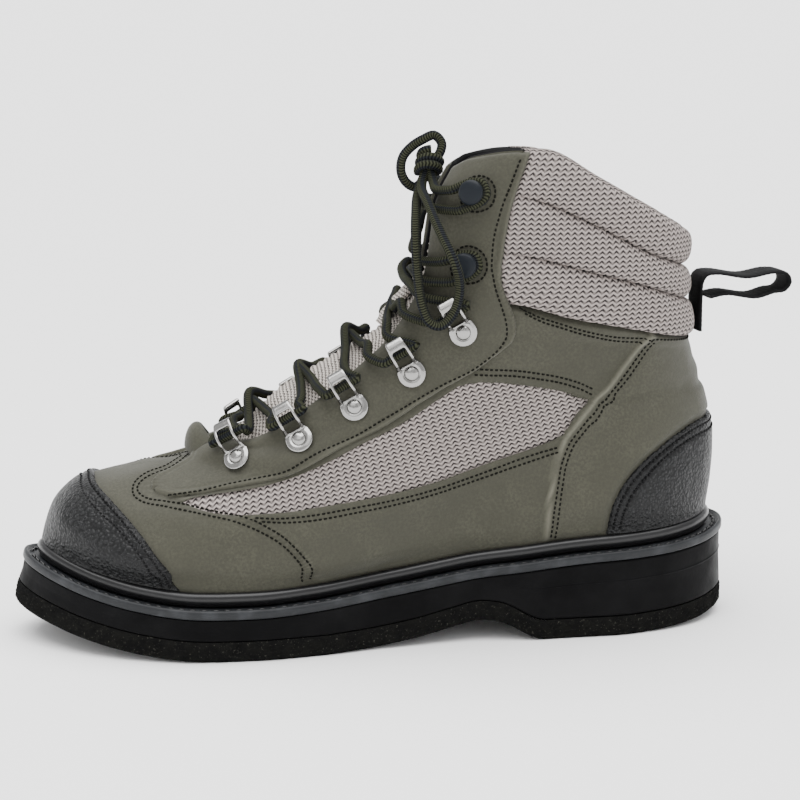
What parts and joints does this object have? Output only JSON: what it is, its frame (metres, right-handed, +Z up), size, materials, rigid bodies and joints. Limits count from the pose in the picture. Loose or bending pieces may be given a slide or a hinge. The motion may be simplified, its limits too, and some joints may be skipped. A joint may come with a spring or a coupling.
{
  "type": "wading boot",
  "caption": "Ankle-high lace-up wading boot with a felt sole, padded knit collar, toe cap, heel counter, lace rings, hooks and a rear pull loop.",
  "frame": {"origin": "on the floor, under the middle of the bounding box", "axes": "+Z up, toe towards -X, heel and pull loop towards +X, the boot's outer (left) side towards -Y"},
  "size_m": [0.3359, 0.1071, 0.2115],
  "materials": {
    "felt": "matte",
    "rubber": "satin",
    "welt_rubber": "satin",
    "olive_leather": "matte",
    "pebbled_rubber": "satin",
    "knit": "matte",
    "lining": "matte",
    "nickel": "polished",
    "hook_plastic": "matte",
    "webbing": "matte",
    "lace_cord": "matte"
  },
  "bodies": {
    "root": {"bow_loop_front": "lace_cord", "bow_loop_long": "lace_cord", "collar_cuff": "knit", "eyestay": "olive_leather", "felt_outsole": "felt", "heel_counter": "pebbled_rubber", "hook_lateral_1": "hook_plastic", "hook_lateral_2": "hook_plastic", "hook_medial_1": "hook_plastic", "hook_medial_2": "hook_plastic", "insole": "lining", "lace_bar": "lace_cord", "lace_crossing_1": "lace_cord", "lace_crossing_2": "lace_cord", "lace_crossing_3": "lace_cord", "lace_crossing_4": "lace_cord", "lace_crossing_5": "lace_cord", "lace_crossing_6": "lace_cord", "lace_knot": "lace_cord", "lace_ring_lateral_1": "nickel", "lace_ring_lateral_2": "nickel", "lace_ring_lateral_3": "nickel", "lace_ring_lateral_4": "nickel", "lace_ring_lateral_5": "nickel", "lace_ring_medial_1": "nickel", "lace_ring_medial_2": "nickel", "lace_ring_medial_3": "nickel", "lace_ring_medial_4": "nickel", "lace_ring_medial_5": "nickel", "midsole": "rubber", "pull_loop": "webbing", "toe_cap": "pebbled_rubber", "tongue": "knit", "upper": "olive_leather", "welt": "welt_rubber"}
  },
  "joints": []
}
